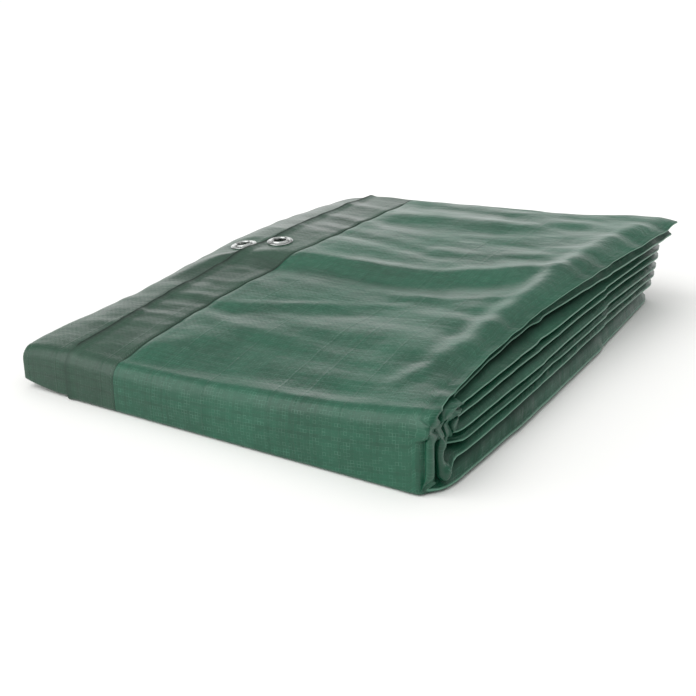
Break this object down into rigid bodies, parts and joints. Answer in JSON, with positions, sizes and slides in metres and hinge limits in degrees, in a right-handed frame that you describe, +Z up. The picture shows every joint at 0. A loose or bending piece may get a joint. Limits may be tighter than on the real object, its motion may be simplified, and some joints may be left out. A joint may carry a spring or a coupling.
{
  "type": "folded tarpaulin",
  "caption": "Heavy green woven poly tarp, folded flat into a wedge-shaped packet, with a grey-green sewn hem band and two aluminium eyelets side by side.",
  "frame": {"origin": "middle of the packet's outline on the surface that it rests on", "axes": "+Y runs from the folded front to the open back, +X towards the side with the pleats' folds, +Z up"},
  "size_m": [0.3754, 0.4946, 0.0813],
  "materials": {
    "woven_poly": "coated weave, low sheen",
    "hem_poly": "doubled coated weave, low sheen",
    "eyelet_metal": "satin"
  },
  "bodies": {
    "root": {"tarp": "woven_poly", "hem_upper": "hem_poly", "hem_lower": "hem_poly", "eyelet_upper": "eyelet_metal", "eyelet_lower": "eyelet_metal", "washer_upper": "eyelet_metal", "washer_lower": "eyelet_metal"}
  },
  "joints": []
}
